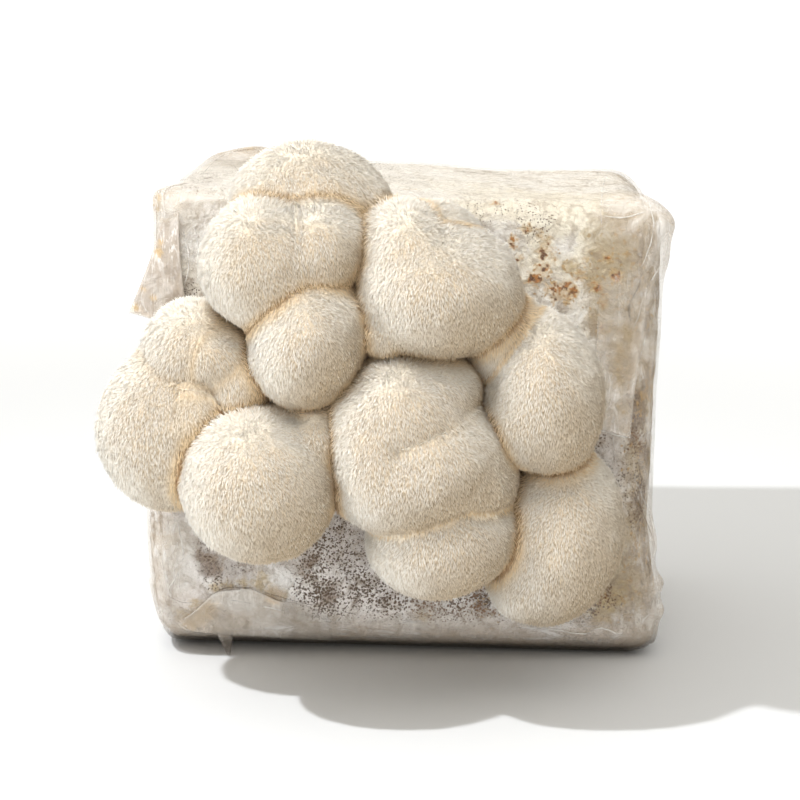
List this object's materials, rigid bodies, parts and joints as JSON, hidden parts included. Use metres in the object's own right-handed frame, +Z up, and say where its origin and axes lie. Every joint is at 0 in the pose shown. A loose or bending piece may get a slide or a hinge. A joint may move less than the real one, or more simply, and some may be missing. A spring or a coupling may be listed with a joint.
{
  "type": "lion's mane mushroom cluster on its grow block",
  "caption": "Shaggy lion's mane heads packed together on the front of an upright sawdust grow block, which is wrapped tight in clear plastic bag film.",
  "frame": {"origin": "the middle of the block's footprint, on the surface that it stands on", "axes": "+Z up, the mushroom heads face -Y, +X to the right when looking at the heads"},
  "size_m": [0.226, 0.2131, 0.2135],
  "materials": {
    "mycelium_block": "white mycelium over damp sawdust, with brown grain showing through in speckles and ochre stains",
    "clear_film": "thin clear plastic bag film, wrinkled and glossy, drawn tight on the block",
    "mushroom_spines": "matt cream spines, short and dense like fur, tan in the creases"
  },
  "bodies": {
    "root": {"substrate_block": "mycelium_block", "bag_film": "clear_film", "head_top": "mushroom_spines", "head_upper_left": "mushroom_spines", "head_middle_left": "mushroom_spines", "head_upper_middle": "mushroom_spines", "head_right": "mushroom_spines", "head_centre": "mushroom_spines", "head_lower_right": "mushroom_spines", "head_lower_left": "mushroom_spines", "head_left": "mushroom_spines", "head_left_shoulder": "mushroom_spines"}
  },
  "joints": []
}
